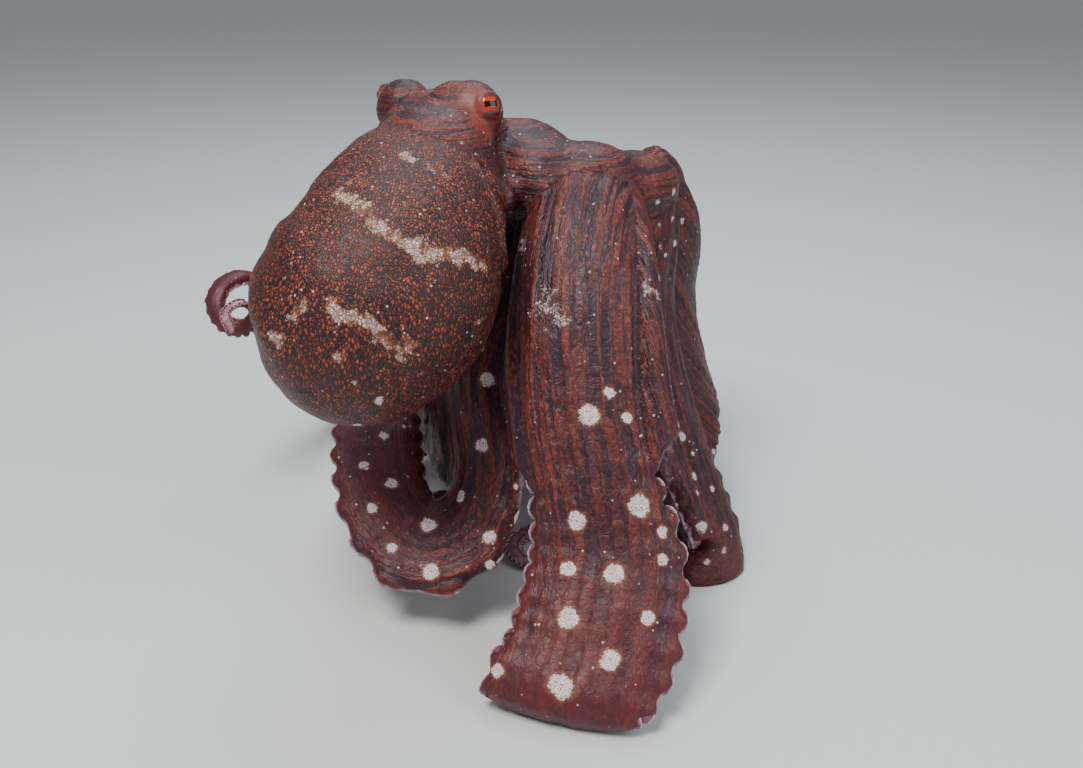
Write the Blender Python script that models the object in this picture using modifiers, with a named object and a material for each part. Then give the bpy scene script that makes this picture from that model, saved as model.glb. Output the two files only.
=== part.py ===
"""A day octopus at life size, standing tall on its arms with the web between them spread like a tent.

The head is at the top, the mantle hangs from it to the front and left, and the arms run down to the floor.
Units are metres, +Z is up, -Y is the side that the mantle hangs towards, and the floor is at z = 0.
"""

import math

import bmesh
import bpy
from mathutils import Matrix, Quaternion, Vector

CM = 0.01
GAP = 0.0004
STANCE = Vector((0.0482, -0.1217, 0.0))

# The head, the crown that the arms grow from, and the eyes
CROWN = Vector((0.026, 0.038, 0.194))
CROWN_HALVES = (0.043, 0.038, 0.021)
HEAD = Vector((-0.050, 0.018, 0.222))
HEAD_HALVES = (0.034, 0.036, 0.028)
NECK_HALVES = (0.036, 0.030, 0.026)
FILLINGS = (
    (Vector((-0.052, -0.012, 0.2230)), (0.033, 0.029, 0.025)),
    (Vector((-0.042, -0.002, 0.2420)), (0.014, 0.015, 0.0150)),
    (Vector((-0.004, 0.010, 0.2090)), (0.030, 0.024, 0.021)),
    (Vector((0.024, 0.008, 0.2050)), (0.026, 0.024, 0.022)),
    (Vector((0.046, 0.022, 0.2010)), (0.026, 0.028, 0.018)),
)
EYE_BUMP_RADIUS = 0.0150
EYE_BUMPS = {"right": Vector((-0.033, -0.004, 0.2425)), "left": Vector((-0.071, 0.037, 0.2375))}
HEAD_TURN = math.radians(-45)
HEAD_LIGHTEN = 0.15
EYE_RADIUS = 0.0085
EYES = {"right": Vector((-0.0265, -0.0105, 0.2465)), "left": Vector((-0.0775, 0.0435, 0.2415))}

# The funnel's middle line and its radius, in centimetres
FUNNEL = ((-2.4, 1.4, 21.0, 1.0), (-2.2, -0.4, 20.4, 1.0), (-2.0, -2.2, 20.4, 0.8), (-1.9, -3.4, 20.8, 0.65))
FUNNEL_BORE = 0.62

# The mantle's middle line from the neck to its hind end, with its half-width and half-depth, in centimetres
MANTLE = (
    (-5.4, 0.2, 21.8, 3.4, 2.3), (-5.9, -3.4, 20.7, 4.3, 3.2), (-6.4, -5.2, 19.4, 4.8, 4.0),
    (-7.2, -6.8, 17.6, 5.3, 4.5), (-8.6, -7.6, 16.2, 5.1, 4.4), (-10.0, -8.0, 15.2, 4.5, 3.7),
    (-11.1, -8.2, 14.4, 3.3, 2.7), (-11.9, -8.3, 13.9, 1.4, 1.2),
)
MANTLE_BACK = Vector((0.0, -0.91, 0.41))

# Each arm's route from the crown, chosen by hand: x, y, z and the half-widths of its two sides, all in
# centimetres. curl is the length of the curled tip, its turns, the way it turns and the axis it turns about.
ARMS = {
    "right_1": {
        "route": (
            (5.6, 5.2, 20.4, 0.9, 1.1), (6.4, 6.2, 19.6, 1.0, 1.6), (6.9, 7.3, 17.2, 1.1, 1.8),
            (6.3, 8.9, 13.8, 1.2, 1.7), (6.0, 10.6, 9.4, 1.2, 1.6), (6.6, 13.2, 3.4, 1.5, 1.5),
            (8.0, 16.4, 1.2, 1.5, 1.5), (9.0, 20.8, 1.0, 1.3, 1.3), (8.6, 25.2, 0.8, 1.1, 1.1),
            (7.0, 29.0, 0.7, 0.9, 0.9),
        ),
        "curl": (13, 1.0, -1),
    },
    "right_2": {
        "route": (
            (5.4, 2.5, 20.2, 1.15, 1.15), (5.9, 1.9, 18.2, 1.5, 1.6), (5.6, 1.2, 14.0, 2.0, 1.9),
            (6.4, 0.4, 9.8, 2.1, 1.9), (7.6, -0.6, 6.4, 2.0, 2.0), (8.8, -1.8, 3.6, 2.0, 2.1),
            (9.6, -2.9, 1.6, 1.9, 1.9), (9.0, -3.6, 1.0, 1.7, 1.2), (7.8, -2.6, 0.9, 1.4, 1.0),
            (7.4, 1.0, 0.9, 1.1, 1.1), (8.0, 5.6, 0.8, 1.0, 1.0), (8.4, 9.8, 0.7, 0.9, 0.9),
        ),
        "curl": (12, 0.9, 1),
    },
    "right_3": {
        "route": (
            (3.0, 0.6, 20.8, 1.15, 1.15), (2.2, -2.2, 19.8, 2.4, 2.5), (1.5, -5.2, 16.4, 3.3, 2.4),
            (1.6, -7.6, 12.3, 3.3, 2.6), (2.2, -9.4, 9.1, 3.1, 2.8), (2.6, -11.0, 6.3, 3.9, 3.1),
            (2.3, -12.8, 4.2, 4.2, 3.4), (1.8, -14.2, 2.6, 4.0, 3.6), (1.3, -15.2, 1.5, 3.4, 4.0),
            (1.2, -15.3, 0.8, 3.1, 3.9), (1.6, -14.0, 0.6, 2.6, 2.8), (2.4, -11.0, 0.7, 1.5, 1.5),
            (3.4, -7.6, 0.8, 1.2, 1.2), (4.2, -4.2, 0.7, 1.1, 1.1), (3.0, -1.4, 0.6, 0.9, 0.9),
        ),
        "curl": (10, 0.8, 1),
        "rolled_from": 0.20,
    },
    "right_4": {
        "route": (
            (0.2, 1.1, 19.2, 1.1, 1.1), (-1.6, -0.2, 16.8, 1.5, 1.6), (-3.2, -2.2, 11.8, 1.8, 1.9),
            (-3.1, -3.6, 9.2, 2.0, 1.9), (-2.9, -4.8, 7.0, 2.3, 1.9), (-3.7, -5.8, 4.9, 3.1, 1.9),
            (-5.6, -6.1, 4.1, 3.6, 1.8), (-7.4, -5.2, 5.1, 3.0, 1.9), (-8.3, -3.4, 6.6, 2.6, 2.1),
            (-8.7, -1.2, 7.9, 2.4, 2.2), (-9.2, 1.4, 8.3, 2.2, 1.9), (-9.5, 4.2, 7.6, 1.6, 1.6),
            (-9.4, 6.6, 5.4, 1.4, 1.4), (-8.6, 8.4, 2.6, 1.3, 1.3), (-6.8, 8.8, 1.1, 1.2, 1.2),
            (-4.4, 7.4, 0.8, 1.1, 1.1),
        ),
        "curl": (12, 0.8, -1),
    },
    "left_4": {
        "route": (
            (-0.7, 3.3, 19.0, 0.9, 0.9), (-2.3, 5.2, 15.8, 1.1, 1.1), (-4.6, 8.4, 10.4, 1.2, 1.2),
            (-6.4, 11.6, 5.2, 1.3, 1.3), (-8.0, 14.6, 2.0, 1.4, 1.4), (-10.4, 16.4, 1.2, 1.3, 1.3),
            (-13.0, 15.4, 1.8, 1.2, 1.2), (-15.0, 12.6, 4.6, 1.0, 1.0), (-15.9, 9.6, 8.4, 0.9, 0.9),
            (-16.3, 7.4, 12.6, 0.8, 0.8),
        ),
        "curl": (12, 1.5, 1, (0.3, -0.9, 0.1)),
    },
    "left_3": {
        "route": (
            (-0.3, 6.0, 19.2, 0.9, 0.9), (-1.3, 8.4, 16.2, 1.0, 1.0), (-2.3, 11.4, 11.0, 1.15, 1.15),
            (-3.4, 14.8, 5.6, 1.3, 1.3), (-4.8, 18.2, 1.8, 1.4, 1.4), (-7.2, 22.2, 1.0, 1.4, 1.4),
            (-10.6, 25.4, 0.9, 1.2, 1.2), (-14.6, 27.4, 0.8, 1.0, 1.0), (-18.6, 28.0, 0.7, 0.8, 0.8),
        ),
        "curl": (13, 1.1, -1),
    },
    "left_2": {
        "route": (
            (1.7, 7.4, 19.6, 0.9, 0.9), (1.4, 9.9, 16.6, 0.9, 0.9), (0.6, 13.0, 11.2, 1.05, 1.05),
            (-0.2, 16.4, 5.6, 1.2, 1.2), (-1.0, 20.2, 1.8, 1.3, 1.3), (-2.2, 24.6, 1.0, 1.4, 1.4),
            (-4.4, 28.8, 0.9, 1.2, 1.2), (-7.6, 32.0, 0.8, 1.0, 1.0), (-11.4, 33.6, 0.7, 0.8, 0.8),
        ),
        "curl": (13, 1.0, 1),
    },
    "left_1": {
        "route": (
            (4.0, 7.1, 20.0, 0.9, 0.9), (4.5, 9.7, 17.0, 0.9, 0.9), (3.9, 13.2, 11.6, 1.0, 1.0),
            (3.7, 16.8, 5.8, 1.15, 1.15), (3.5, 20.4, 1.8, 1.3, 1.3), (3.2, 24.8, 1.0, 1.4, 1.4),
            (2.6, 29.4, 0.9, 1.2, 1.2), (1.6, 33.6, 0.8, 1.0, 1.0), (1.4, 37.4, 0.7, 0.8, 0.8),
        ),
        "curl": (12, 1.0, -1),
    },
}
AROUND = ("right_1", "right_2", "right_3", "right_4", "left_4", "left_3", "left_2", "left_1")
DORSAL_HEIGHT = 0.013
ORAL_DEPTH = 0.010
TIP_SHARE = 0.12
LEVEL_BELOW = 0.03
LIES_BELOW = 0.013
PRESSED = 0.0003

ARM_SIDES = 8
ARM_STEP = 0.024
LENGTHS_OF_ARM = ("base", "middle", "tip")
WEB_LENGTH = 0.165
WEB_FIRST_ROW = 1
WEB_ROWS = 9
WEB_COLUMNS = 5
WEB_THICKNESS = 0.005
WEB_RECESS = 0.14
WEB_EASE = 0.3
WEB_BULGE = {"right_1": 0.003, "right_2": 0.006, "right_3": 0.0, "right_4": 0.0}


def material(name, colour, roughness):
    made = bpy.data.materials.new(name)
    made.use_nodes = True
    shader = made.node_tree.nodes["Principled BSDF"]
    shader.inputs["Base Color"].default_value = (*colour, 1.0)
    shader.inputs["Roughness"].default_value = roughness
    return made


def solid(name, bm, finish):
    """Makes one named object of a closed bmesh, with the floor's flats pressed into it."""
    for v in bm.verts:
        v.co = Vector((v.co.x, v.co.y, max(v.co.z, 0.0))) + STANCE
    bmesh.ops.recalc_face_normals(bm, faces=bm.faces)
    mesh = bpy.data.meshes.new(name)
    bm.to_mesh(mesh)
    bm.free()
    mesh.materials.append(finish)
    mesh.shade_smooth()
    made = bpy.data.objects.new(name, mesh)
    BODY.objects.link(made)
    return made


def between(p0, p1, p2, p3, t):
    """The Catmull-Rom curve between p1 and p2."""
    return 0.5 * (
        2 * p1 + (p2 - p0) * t + (2 * p0 - 5 * p1 + 4 * p2 - p3) * t * t + (3 * p1 - p0 - 3 * p2 + p3) * t**3
    )


class Path:
    """A smooth curve through rows of x, y, z and any sizes that go with each place."""

    def __init__(self, rows, steps=12):
        rows = [[Vector(row[:3]), *row[3:]] for row in rows]
        ends = [
            [2 * a - b for a, b in zip(rows[0], rows[1])], *rows, [2 * a - b for a, b in zip(rows[-1], rows[-2])]
        ]
        self.rows = [
            [between(*four, k / steps) for four in zip(*ends[i : i + 4])]
            for i in range(len(rows) - 1) for k in range(steps)
        ] + [rows[-1]]
        self.lengths = [0.0]
        for a, b in zip(self.rows, self.rows[1:]):
            self.lengths.append(self.lengths[-1] + (b[0] - a[0]).length)
        self.length = self.lengths[-1]
        last = len(self.rows) - 1
        for i, row in enumerate(self.rows):
            before, after = self.rows[max(i - 1, 0)], self.rows[min(i + 1, last)]
            row.insert(1, (after[0] - before[0]).normalized())

    def at(self, s):
        """The place, the direction and the sizes at length s."""
        s = min(max(s, 0.0), self.length)
        i = next(k for k in range(1, len(self.lengths)) if s <= self.lengths[k] + 1e-9)
        t = (s - self.lengths[i - 1]) / (self.lengths[i] - self.lengths[i - 1])
        return [a + (b - a) * t for a, b in zip(self.rows[i - 1], self.rows[i])]


def even_stations(start, end, longest):
    count = max(1, math.ceil((end - start) / longest))
    return [start + (end - start) * k / count for k in range(count + 1)]


def stations(path, start, end, longest, turn=math.radians(24)):
    """Lengths along the path from start to end, closer together where it bends."""
    made, direction = [start], path.at(start)[1]
    for s in path.lengths:
        if start < s < end and (s - made[-1] >= longest or direction.angle(path.at(s)[1]) >= turn):
            if s - made[-1] > longest / 8:
                made.append(s)
                direction = path.at(s)[1]
    if end - made[-1] < longest / 4 and len(made) > 1:
        made.pop()
    return [*made, end]


def curled(route, length, turns, way, axis=(0, 0, 1)):
    """The route in metres, with a thinning tip that bends ever more tightly about the axis."""
    rows = [[CM * n for n in row] for row in route]
    start, before = Vector(rows[-1][:3]), Vector(rows[-2][:3])
    heading = (start - before).normalized()
    widths = rows[-1][3:]
    count = round(length / 1.2)
    for k in range(count):
        tighter = 0.4 + 1.2 * (k + 0.5) / count
        heading = Quaternion(axis, way * 2 * math.pi * turns * tighter / count) @ heading
        start = start + heading * (CM * length / count)
        thin = 1 - (1 - 0.35) * (k + 1) / count
        rows.append([*start, *(w * thin for w in widths)])
    return rows


class Arm(Path):
    """An arm's middle line, with its dorsal direction and its size at any length from the crown."""

    def __init__(self, route, curl, rolled_from=1.0):
        super().__init__(curled(route, *curl))
        up = self.rows[0][0] - (CROWN - Vector((0, 0, 0.10)))
        for row, s in zip(self.rows, self.lengths):
            if s < rolled_from:
                up = up + Vector((0, 0, 0.12 * max(0.0, 1 - row[0].z / LEVEL_BELOW)))
            up = (up - up.dot(row[1]) * row[1]).normalized()
            row.append(up)
            if up.z > 0.5:
                lying = min(1.0, max(0.0, (LIES_BELOW - row[0].z) / (0.3 * LIES_BELOW)))
                row[0].z += lying * (0.96 * ORAL_DEPTH * self.taper(s) - PRESSED - row[0].z)
        self.base_rings = [self.ring(WEB_LENGTH * j / WEB_ROWS) for j in range(WEB_ROWS + 1)]

    def taper(self, s):
        return 1 - (1 - TIP_SHARE) * (s / self.length) ** 1.1

    def ring(self, s, sides=ARM_SIDES):
        """The outline of the arm: round above, flat below."""
        centre, along, low, high, dorsal = self.at(s)
        along.normalize()
        dorsal = (dorsal - dorsal.dot(along) * along).normalized()
        lateral = along.cross(dorsal)
        taper = self.taper(s)
        points = []
        for k in range(sides):
            angle = 2 * math.pi * (k + 0.5) / sides
            x, y = math.cos(angle), math.sin(angle)
            x *= high if x > 0 else low
            y = DORSAL_HEIGHT * taper * y if y > 0 else -ORAL_DEPTH * taper * abs(y) ** 0.45
            points.append(centre + lateral * x + dorsal * y)
        return points

    def side(self, row, hand):
        """The flat on one side at a row of the web, which need not be whole: its middle, its upward edge and
        the way out of it."""
        upper, lower = (0, -1) if hand > 0 else (ARM_SIDES // 2 - 1, ARM_SIDES // 2)
        near, far = self.base_rings[math.floor(row)], self.base_rings[math.ceil(row)]
        high = near[upper].lerp(far[upper], row % 1)
        low = near[lower].lerp(far[lower], row % 1)
        up = (high - low).normalized()
        along = self.at(WEB_LENGTH * row / WEB_ROWS)[1]
        return (low + high) / 2, up, along.cross(up).normalized() * hand


def loft(rings):
    """A closed bmesh through rings of the same number of points, with both ends capped."""
    bm = bmesh.new()
    loops = [[bm.verts.new(p) for p in ring] for ring in rings]
    count = len(loops[0])
    for a, b in zip(loops, loops[1:]):
        for k in range(count):
            bm.faces.new((a[k], a[(k + 1) % count], b[(k + 1) % count], b[k]))
    bm.faces.new(loops[0])
    bm.faces.new(loops[-1])
    return bm


def build_arm(name, arm):
    """The arm in three lengths, face to face with a thin gap."""
    cuts = (0.0, WEB_LENGTH, WEB_LENGTH + 0.45 * (arm.length - WEB_LENGTH), arm.length)
    for k, part in enumerate(LENGTHS_OF_ARM):
        places = stations(arm, cuts[k] + GAP, cuts[k + 1], ARM_STEP) if k else []
        rings = [arm.ring(s) for s in places] or arm.base_rings
        solid(f"arm_{name}_{part}", loft(rings), SKIN)


def build_web(name, first, second, bulge):
    """A thin curved solid that leaves both arms level with their sides, its free edge drawn back between them."""
    middle, sides = [], []
    for j in range(WEB_FIRST_ROW, WEB_ROWS + 1):
        middle.append([])
        for k in range(WEB_COLUMNS + 1):
            t = k / WEB_COLUMNS
            bow = 4 * t * (1 - t)
            row = WEB_FIRST_ROW + (j - WEB_FIRST_ROW) * (1 - WEB_RECESS * bow)
            (a, a_up, a_out), (b, b_up, b_out) = first.side(row, 1), second.side(row, -1)
            a, b = a + a_out * GAP, b + b_out * GAP
            reach = WEB_EASE * (b - a).length
            c, d = a + a_out * reach, b + b_out * reach
            p = a * (1 - t) ** 3 + c * (3 * t * (1 - t) ** 2) + d * (3 * t * t * (1 - t)) + b * t**3
            middle[-1].append(p + a_up.lerp(b_up, t) * (bow * bulge * min(1.0, row / 3)))
            if k == 0:
                sides.append((a_up, b_up))
    last = len(middle) - 1
    walls = {1: [], -1: []}
    for j, line in enumerate(middle):
        for wall in walls.values():
            wall.append([])
        for k, p in enumerate(line):
            if k in (0, WEB_COLUMNS):
                up = sides[j][k // WEB_COLUMNS]
            else:
                along = middle[min(j + 1, last)][k] - middle[max(j - 1, 0)][k]
                up = (line[k + 1] - line[k - 1]).cross(along).normalized()
            for way, wall in walls.items():
                wall[-1].append(p + up * (way * WEB_THICKNESS / 2))
    bm = bmesh.new()
    top, low = ([[bm.verts.new(p) for p in line] for line in wall] for wall in walls.values())
    for j in range(last):
        for k in range(WEB_COLUMNS):
            bm.faces.new((top[j][k], top[j][k + 1], top[j + 1][k + 1], top[j + 1][k]))
            bm.faces.new((low[j][k], low[j + 1][k], low[j + 1][k + 1], low[j][k + 1]))
        for k in (0, WEB_COLUMNS):
            bm.faces.new((top[j][k], top[j + 1][k], low[j + 1][k], low[j][k]))
    for j in (0, last):
        for k in range(WEB_COLUMNS):
            bm.faces.new((top[j][k], top[j][k + 1], low[j][k + 1], low[j][k]))
    solid(name, bm, SKIN)


def ellipsoid(bm, centre, halves, turn=0.0, segments=20):
    made = bmesh.ops.create_uvsphere(bm, u_segments=segments, v_segments=segments // 2, radius=1.0)
    shape = Matrix.Translation(centre) @ Matrix.Rotation(turn, 4, "Z") @ Matrix.Diagonal((*halves, 1.0))
    bmesh.ops.transform(bm, matrix=shape, verts=made["verts"])


def build_head():
    bm = bmesh.new()
    ellipsoid(bm, HEAD, HEAD_HALVES, HEAD_TURN)
    for bump in EYE_BUMPS.values():
        ellipsoid(bm, bump, (EYE_BUMP_RADIUS,) * 3)
        ellipsoid(bm, bump.lerp(HEAD, 0.45), (EYE_BUMP_RADIUS * 1.1,) * 3)
    ellipsoid(bm, CROWN, CROWN_HALVES)
    ellipsoid(bm, (HEAD + CROWN) / 2, NECK_HALVES, HEAD_TURN)
    for place, halves in FILLINGS:
        ellipsoid(bm, place, halves, HEAD_TURN)
    made = solid("head", bm, SKIN)
    fuse = made.modifiers.new("Fuse", "REMESH")
    fuse.mode = "VOXEL"
    fuse.voxel_size = 0.0042
    soften = made.modifiers.new("Soften", "SMOOTH")
    soften.factor = 0.5
    soften.iterations = 6
    lighten = made.modifiers.new("Lighten", "DECIMATE")
    lighten.ratio = HEAD_LIGHTEN
    return made


def build_mantle():
    path = Path([[CM * n for n in row] for row in MANTLE])
    rings = []
    for s in even_stations(0.0, path.length, 0.015):
        centre, along, half, depth = path.at(s)
        side = along.cross(MANTLE_BACK).normalized()
        back = side.cross(along)
        rings.append([
            centre + side * (half * math.cos(a)) + back * (depth * math.sin(a))
            for a in (2 * math.pi * k / 18 for k in range(18))
        ])
    return solid("mantle", loft(rings), SKIN)


def build_eye(side):
    """The ball of the eye, let into its bump and standing a little proud of it."""
    bm = bmesh.new()
    ellipsoid(bm, EYES[side], (EYE_RADIUS,) * 3, segments=16)
    return solid(f"eye_{side}", bm, EYE)


def build_funnel():
    """The tube under the head that looks out beside the mantle's edge, open at its end."""
    path = Path([[CM * n for n in row] for row in FUNNEL])
    places = even_stations(0.0, path.length, 0.006)
    rings = []
    for s, share in [(s, 1.0) for s in places] + [(s, FUNNEL_BORE) for s in reversed(places[-3:])]:
        centre, along, radius = path.at(s)
        side = along.cross(Vector((0, 0, 1))).normalized()
        back = side.cross(along)
        rings.append([
            centre + (side * math.cos(a) + back * math.sin(a)) * (radius * share)
            for a in (2 * math.pi * k / 10 for k in range(10))
        ])
    return solid("funnel", loft(rings), SKIN)


def cutter(name, source, proud=3 * GAP):
    """A copy of a solid, grown by the gap, that pares its neighbours back from it."""
    bpy.context.view_layer.update()
    shape = source.evaluated_get(bpy.context.evaluated_depsgraph_get())
    bm = bmesh.new()
    bm.from_mesh(shape.to_mesh())
    for v in bm.verts:
        v.co = v.co + v.normal * proud
    mesh = bpy.data.meshes.new(name)
    bm.to_mesh(mesh)
    bm.free()
    made = bpy.data.objects.new(name, mesh)
    made.hide_render = True
    made.display_type = "WIRE"
    CUTTERS.objects.link(made)
    return made


def pare(target, tool):
    cut = target.modifiers.new("Pare", "BOOLEAN")
    cut.operation = "DIFFERENCE"
    cut.solver = "EXACT"
    cut.object = tool


for old in list(bpy.data.objects):
    bpy.data.objects.remove(old)
BODY = bpy.data.collections.new("octopus")
bpy.context.scene.collection.children.link(BODY)
CUTTERS = bpy.data.collections.new("cutters")
bpy.context.scene.collection.children.link(CUTTERS)
SKIN = material("skin", (0.20, 0.045, 0.03), 0.5)
EYE = material("eye", (0.30, 0.06, 0.02), 0.15)

arms = {name: Arm(**facts) for name, facts in ARMS.items()}
for name, arm in arms.items():
    build_arm(name, arm)
for k, name in enumerate(AROUND):
    other = AROUND[(k + 1) % len(AROUND)]
    build_web(f"web_{name}_{other}", arms[name], arms[other], WEB_BULGE.get(name, 0.002))
head = build_head()
eyes = [build_eye(side) for side in EYES]
funnel = build_funnel()
mantle = build_mantle()
head_tool, funnel_tool = cutter("head_cutter", head), cutter("funnel_cutter", funnel)
eye_tools = [cutter(f"{eye.name}_cutter", eye) for eye in eyes]
for piece in BODY.objects:
    if piece.name.startswith(("web_", "mantle", "funnel")) or piece.name.endswith("_base"):
        pare(piece, head_tool)
pare(mantle, funnel_tool)
for tool in eye_tools:
    pare(head, tool)
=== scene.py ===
"""A day octopus at life size, sitting tall on its arms with the web spread between them like a tent.

One skin stands for all the flesh; the suckers and the eyes are pieces of their own.
Units are metres, +Z is up, and the mantle hangs towards -Y.
"""

import math
import random

import bmesh
import bpy
import numpy as np
from mathutils import Matrix, Quaternion, Vector, noise
from mathutils.bvhtree import BVHTree
from mathutils.kdtree import KDTree


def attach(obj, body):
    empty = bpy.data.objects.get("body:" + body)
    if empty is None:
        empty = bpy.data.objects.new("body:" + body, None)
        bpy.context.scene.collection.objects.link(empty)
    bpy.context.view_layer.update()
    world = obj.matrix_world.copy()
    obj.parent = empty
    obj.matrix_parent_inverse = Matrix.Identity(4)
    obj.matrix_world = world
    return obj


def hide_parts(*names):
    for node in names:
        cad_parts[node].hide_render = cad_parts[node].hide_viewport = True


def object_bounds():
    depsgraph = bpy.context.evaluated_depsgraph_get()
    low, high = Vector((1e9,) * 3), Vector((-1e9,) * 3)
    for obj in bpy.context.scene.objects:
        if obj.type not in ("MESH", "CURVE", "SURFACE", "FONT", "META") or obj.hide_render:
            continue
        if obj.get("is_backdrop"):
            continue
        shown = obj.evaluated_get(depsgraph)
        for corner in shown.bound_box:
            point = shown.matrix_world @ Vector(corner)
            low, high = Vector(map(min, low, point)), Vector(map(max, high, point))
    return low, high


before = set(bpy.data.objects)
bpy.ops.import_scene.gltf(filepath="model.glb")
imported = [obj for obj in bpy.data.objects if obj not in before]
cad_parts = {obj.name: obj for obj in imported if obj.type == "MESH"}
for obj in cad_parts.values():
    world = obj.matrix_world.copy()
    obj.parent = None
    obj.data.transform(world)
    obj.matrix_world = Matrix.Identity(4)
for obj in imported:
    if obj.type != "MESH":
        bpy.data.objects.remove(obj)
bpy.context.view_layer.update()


# The camera: it stands on the mantle's side, a little above the head, and looks down. STANCE is how far the
# animal stands from the point that its forms are measured from, so that its box is centred on the origin.
VIEW_WIDTH, VIEW_HEIGHT = 1083, 768
VIEW_FOCUS = 1053
STANCE = Vector((0.0482, -0.1217, 0.0))
CAMERA_PLACE = Vector((0.0, -0.52, 0.329)) + STANCE
CAMERA_TILT = math.radians(66)

lens = bpy.data.cameras.new("camera")
lens.sensor_width = 36
lens.lens = lens.sensor_width * VIEW_FOCUS / VIEW_WIDTH
lens.clip_start = 0.01
camera = bpy.data.objects.new("camera", lens)
camera.location = CAMERA_PLACE
camera.rotation_euler = (CAMERA_TILT, 0, 0)
bpy.context.scene.collection.objects.link(camera)
bpy.context.scene.camera = camera


# The floor: a pale, matt and level sheet that carries the shadows. It lies a hair below the arms, so that
# the two never share a plane.
class Value:
    """A socket in a material, on which arithmetic adds Math nodes."""

    def __init__(self, finish, socket):
        self.finish, self.socket = finish, socket

    def math(self, operation, *others):
        return self.finish.node("ShaderNodeMath", {"operation": operation}, dict(enumerate((self, *others))))

    def __add__(self, other):
        return self.math("ADD", other)

    __radd__ = __add__

    def __sub__(self, other):
        return self.math("SUBTRACT", other)

    def __rsub__(self, other):
        return (self * -1) + other

    def __mul__(self, other):
        return self.math("MULTIPLY", other)

    __rmul__ = __mul__

    def step(self, low, high):
        """0 below low and 1 above high, or the other way round where low is the larger."""
        return self.finish.node(
            "ShaderNodeMapRange", {"interpolation_type": "SMOOTHSTEP"},
            {0: self, 1: min(low, high), 2: max(low, high), 3: float(low > high), 4: float(low < high)},
        )


class Finish:
    """A material made of nodes."""

    NOISE_ROUGHNESS = 0.55

    def __init__(self, name, **constants):
        self.material = bpy.data.materials.new(name)
        self.material.use_nodes = True
        self.tree = self.material.node_tree
        self.shader = self.tree.nodes["Principled BSDF"]
        self.set(**constants)

    def feed(self, socket, value):
        if isinstance(value, Value):
            self.tree.links.new(value.socket, socket)
        elif hasattr(socket.default_value, "__len__") and len(socket.default_value) == 4 and len(value) == 3:
            socket.default_value = (*value, 1.0)
        else:
            socket.default_value = value

    def node(self, kind, settings, inputs, output=0):
        made = self.tree.nodes.new(kind)
        for name, value in settings.items():
            setattr(made, name, value)
        for name, value in inputs.items():
            self.feed(made.inputs[name], value)
        return Value(self, made.outputs[output])

    def set(self, **inputs):
        for name, value in inputs.items():
            self.feed(self.shader.inputs[name.replace("_", " ")], value)

    def place(self):
        return self.node("ShaderNodeTexCoord", {}, {}, "Object")

    def attribute(self, name, output="Fac"):
        return self.node("ShaderNodeAttribute", {"attribute_name": name}, {}, output)

    def mix(self, share, first, second):
        """The first colour where share is 0, and the second where it is 1."""
        return self.node("ShaderNodeMix", {"data_type": "RGBA"}, {0: share, 6: first, 7: second}, 2)

    def shifted(self, vector, shift):
        return self.node("ShaderNodeVectorMath", {"operation": "ADD"}, {0: vector, 1: shift})

    def stretched(self, vector, scale):
        return self.node("ShaderNodeVectorMath", {"operation": "MULTIPLY"}, {0: vector, 1: scale})

    def noise(self, vector, scale, detail=3.0):
        inputs = {"Vector": vector, "Scale": scale, "Detail": detail, "Roughness": self.NOISE_ROUGHNESS}
        return self.node("ShaderNodeTexNoise", {}, inputs)

    def cells(self, vector, scale, feature="F1", output="Distance"):
        inputs = {"Vector": vector, "Scale": scale}
        return self.node("ShaderNodeTexVoronoi", {"feature": feature}, inputs, output)

    def bump(self, height, strength, distance):
        return self.node("ShaderNodeBump", {}, {"Height": height, "Strength": strength, "Distance": distance})


def add_piece(name, mesh, finish):
    made = bpy.data.objects.new(name, mesh)
    mesh.materials.append(finish.material)
    bpy.context.scene.collection.objects.link(made)
    return made


FLOOR_REACH = 3.0
FLOOR_DROP = 0.0002
FLOOR_GREY = (0.62, 0.63, 0.62)
bm = bmesh.new()
bmesh.ops.create_grid(bm, x_segments=1, y_segments=1, size=FLOOR_REACH)
bmesh.ops.translate(bm, vec=(0, FLOOR_REACH / 2, -FLOOR_DROP), verts=bm.verts)
mesh = bpy.data.meshes.new("floor")
bm.to_mesh(mesh)
bm.free()
add_piece("floor", mesh, Finish("floor", Base_Color=FLOOR_GREY, Roughness=0.85))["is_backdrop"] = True


# The lamps: three soft squares of light that aim at the middle of the animal, and a dim bluish sky.
# Each has its place, its side, its power in watts and its colour.
AIM = Vector((0, 0, 0.12))
SKY_COLOUR = (0.72, 0.80, 0.85, 1.0)
SKY_STRENGTH = 0.42
LAMPS = {
    "key": ((-0.30, -0.70, 1.20), 0.45, 19.0, (1.0, 0.97, 0.94)),
    "fill": ((0.95, -0.65, 0.75), 0.8, 7.0, (0.86, 0.94, 1.0)),
    "top": ((0.1, 0.5, 1.3), 0.9, 11.0, (0.80, 0.93, 1.0)),
}
for name, (place, breadth, power, colour) in LAMPS.items():
    lamp = bpy.data.lights.new(name, "AREA")
    lamp.size = breadth
    lamp.energy = power
    lamp.color = colour
    made = bpy.data.objects.new(name, lamp)
    made.location = place
    made.rotation_euler = (AIM - Vector(place)).to_track_quat("-Z", "Y").to_euler()
    bpy.context.scene.collection.objects.link(made)
sky = bpy.data.worlds.new("sky")
sky.use_nodes = True
sky.node_tree.nodes["Background"].inputs["Color"].default_value = SKY_COLOUR
sky.node_tree.nodes["Background"].inputs["Strength"].default_value = SKY_STRENGTH
bpy.context.scene.world = sky


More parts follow.
